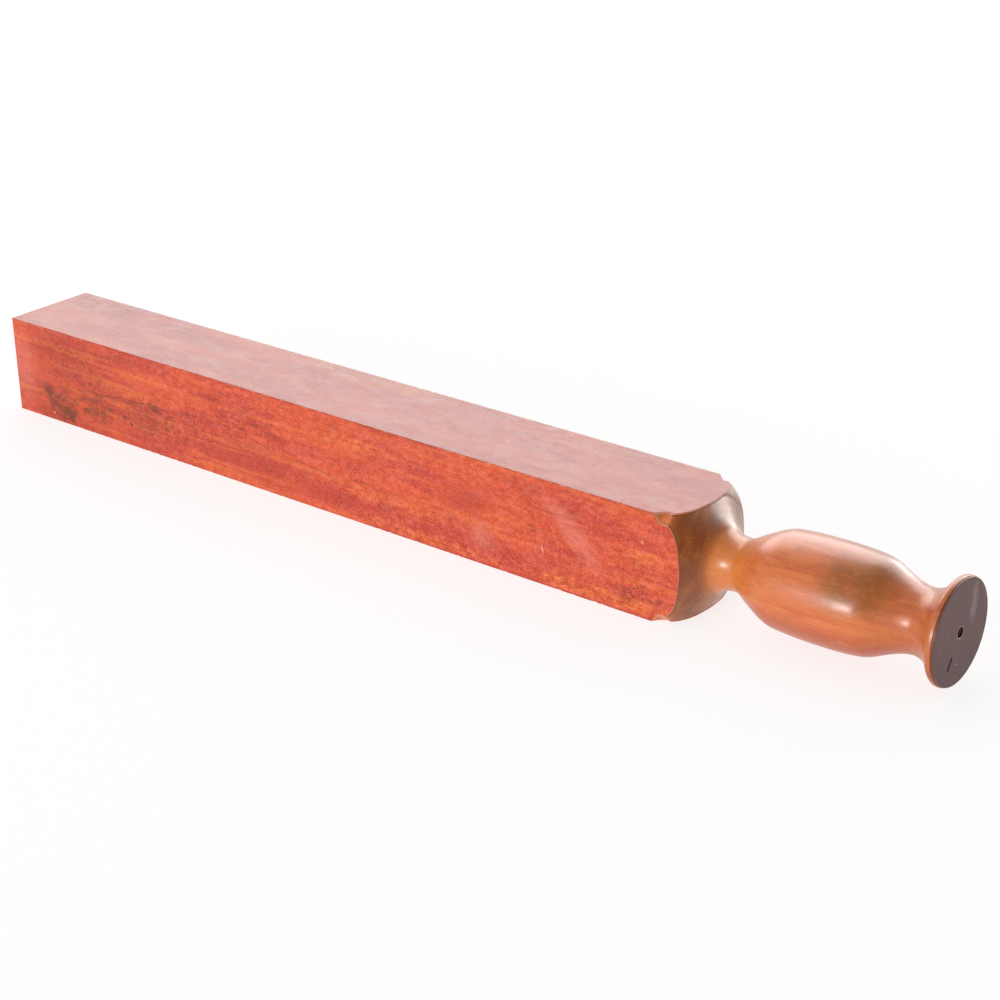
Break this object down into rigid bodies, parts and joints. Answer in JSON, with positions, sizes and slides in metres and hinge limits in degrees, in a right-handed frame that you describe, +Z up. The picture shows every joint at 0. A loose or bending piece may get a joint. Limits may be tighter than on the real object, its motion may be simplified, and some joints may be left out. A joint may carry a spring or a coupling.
{
  "type": "leather strop",
  "caption": "Square wooden bar with a thin leather facing on every long side and a turned handle that ends in a disc pommel.",
  "frame": {"origin": "on the resting surface, under the middle of the overall length", "axes": "+X along the strop from the far end towards the pommel, +Y towards the back facing, +Z up through the top facing"},
  "size_m": [0.4774, 0.045, 0.045],
  "materials": {
    "turned_wood": "satin varnish over amber-brown hardwood",
    "red_leather": "mottled red dye, dressed and worn to a soft sheen",
    "dark_leather": "matt, dark purple-brown"
  },
  "bodies": {
    "root": {"wood_body": "turned_wood", "leather_top": "red_leather", "leather_front": "red_leather", "leather_bottom": "red_leather", "leather_back": "red_leather", "pommel_disc": "dark_leather"}
  },
  "joints": []
}
